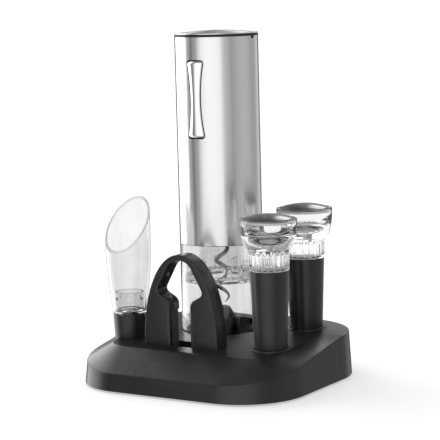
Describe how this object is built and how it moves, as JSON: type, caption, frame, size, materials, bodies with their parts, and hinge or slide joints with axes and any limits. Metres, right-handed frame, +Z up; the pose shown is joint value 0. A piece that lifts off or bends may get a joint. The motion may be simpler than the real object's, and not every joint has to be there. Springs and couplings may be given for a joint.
{
  "type": "electric wine opener",
  "caption": "Cordless corkscrew tube with a clear sleeve and rocker switch, standing on a sloped black stand with a foil cutter, a pourer and bottle stoppers.",
  "frame": {"origin": "centre of the stand's footprint, on the surface it rests on", "axes": "+Z up, along the opener's axis; -Y is the front, where the rocker faces; +X to the right seen from the front"},
  "size_m": [0.148, 0.13, 0.214],
  "materials": {
    "stand_plastic": "satin moulded black",
    "inner_plastic": "matt moulded black",
    "rubber": "matt black silicone rubber",
    "zinc": "bright zinc plated",
    "brushed_steel": "fine vertical brushing",
    "cell_jacket": "plain printed film, no marks",
    "polished_steel": "polished",
    "brass": "turned",
    "gear_nylon": "natural nylon",
    "dark_steel": "dark polished steel",
    "chrome": "bright chrome",
    "board": "plain circuit board",
    "switch_housing": "matt black",
    "satin_black": "satin black",
    "graphite": "dark graphite",
    "clear_acrylic": "clear polished"
  },
  "bodies": {
    "stand": {"stand_shell": "stand_plastic", "stand_cover": "inner_plastic", "rubber_feet": "rubber", "cover_screws": "zinc"},
    "opener": {"body_tube": "brushed_steel", "battery_box": "inner_plastic", "batteries": "cell_jacket", "battery_springs": "zinc", "motor_frame": "inner_plastic", "motor_can": "zinc", "gear_case": "inner_plastic", "ring_gear": "gear_nylon", "output_bush": "brass", "clear_sleeve": "clear_acrylic", "cork_guide": "clear_acrylic", "rocker_pin": "polished_steel", "switch_board": "board", "tact_switches": "switch_housing", "frame_screws": "zinc"},
    "cap": {"cap_dome": "brushed_steel", "cap_plug": "inner_plastic", "cap_contact": "zinc"},
    "rotor": {"motor_shaft": "polished_steel", "motor_pinion": "brass"},
    "spindle": {"planet_carrier": "zinc", "planet_pins": "polished_steel", "worm_hub": "inner_plastic", "corkscrew": "dark_steel"},
    "planet_1": {"planet_gear_1": "gear_nylon"},
    "planet_2": {"planet_gear_2": "gear_nylon"},
    "planet_3": {"planet_gear_3": "gear_nylon"},
    "rocker": {"rocker_button": "chrome"},
    "cutter": {"cutter_body": "satin_black", "wheel_axles": "polished_steel"},
    "wheel_1": {"cutter_wheel_1": "polished_steel"},
    "wheel_2": {"cutter_wheel_2": "polished_steel"},
    "wheel_3": {"cutter_wheel_3": "polished_steel"},
    "wheel_4": {"cutter_wheel_4": "polished_steel"},
    "pourer": {"pourer_spout": "clear_acrylic", "pourer_aerator": "clear_acrylic", "pourer_plug": "rubber"},
    "front_stopper": {"front_stopper_knob": "clear_acrylic", "front_stopper_cap": "graphite", "front_stopper_plug": "rubber"},
    "rear_stopper": {"rear_stopper_knob": "clear_acrylic", "rear_stopper_cap": "graphite", "rear_stopper_plug": "rubber"}
  },
  "joints": [
    {"name": "opener_lift", "type": "slide", "parent": "stand", "child": "opener", "axis": [0, 0, 1], "range_m": [0, 0.1]},
    {"name": "cutter_lift", "type": "slide", "parent": "stand", "child": "cutter", "axis": [0, 0, 1], "range_m": [0, 0.1]},
    {"name": "pourer_lift", "type": "slide", "parent": "stand", "child": "pourer", "axis": [0, 0, 1], "range_m": [0, 0.105]},
    {"name": "front_stopper_lift", "type": "slide", "parent": "stand", "child": "front_stopper", "axis": [0, 0, 1], "range_m": [0, 0.105]},
    {"name": "rear_stopper_lift", "type": "slide", "parent": "stand", "child": "rear_stopper", "axis": [0, 0, 1], "range_m": [0, 0.105]},
    {"name": "cap_twist", "type": "hinge", "parent": "opener", "child": "cap", "pos_m": [-0.0115, 0.025, 0.2111], "axis": [0, 0, 1], "range_deg": [0, 34]},
    {"name": "button_rock", "type": "hinge", "parent": "opener", "child": "rocker", "pos_m": [-0.0115, 0.0035, 0.1723], "axis": [1, 0, 0], "range_deg": [-3.5, 3.5], "stiffness_Nm_per_rad": 0.5},
    {"name": "corkscrew_spin", "type": "hinge", "parent": "opener", "child": "spindle", "pos_m": [-0.0115, 0.025, 0.1111], "axis": [0, 0, 1], "continuous": true},
    {"name": "rotor_spin", "type": "hinge", "parent": "opener", "child": "rotor", "pos_m": [-0.0115, 0.025, 0.1111], "axis": [0, 0, 1], "continuous": true},
    {"name": "planet_1_spin", "type": "hinge", "parent": "spindle", "child": "planet_1", "pos_m": [0.0005, 0.025, 0.1111], "axis": [0, 0, 1], "continuous": true},
    {"name": "planet_2_spin", "type": "hinge", "parent": "spindle", "child": "planet_2", "pos_m": [-0.0175, 0.03539, 0.1111], "axis": [0, 0, 1], "continuous": true},
    {"name": "planet_3_spin", "type": "hinge", "parent": "spindle", "child": "planet_3", "pos_m": [-0.0175, 0.01461, 0.1111], "axis": [0, 0, 1], "continuous": true},
    {"name": "wheel_1_spin", "type": "hinge", "parent": "cutter", "child": "wheel_1", "pos_m": [0.00366, -0.0229, 0.06813], "axis": [0, 1, 0], "continuous": true},
    {"name": "wheel_2_spin", "type": "hinge", "parent": "cutter", "child": "wheel_2", "pos_m": [-0.02206, -0.0229, 0.06813], "axis": [0, 1, 0], "continuous": true},
    {"name": "wheel_3_spin", "type": "hinge", "parent": "cutter", "child": "wheel_3", "pos_m": [-0.02046, -0.0229, 0.05155], "axis": [0, 1, 0], "continuous": true},
    {"name": "wheel_4_spin", "type": "hinge", "parent": "cutter", "child": "wheel_4", "pos_m": [0.00206, -0.0229, 0.05155], "axis": [0, 1, 0], "continuous": true}
  ],
  "couplings": [
    {"joint": "rotor_spin", "follows": "corkscrew_spin", "ratio": 5},
    {"joint": "planet_1_spin", "follows": "corkscrew_spin", "ratio": -2.6667},
    {"joint": "planet_2_spin", "follows": "corkscrew_spin", "ratio": -2.6667},
    {"joint": "planet_3_spin", "follows": "corkscrew_spin", "ratio": -2.6667}
  ]
}
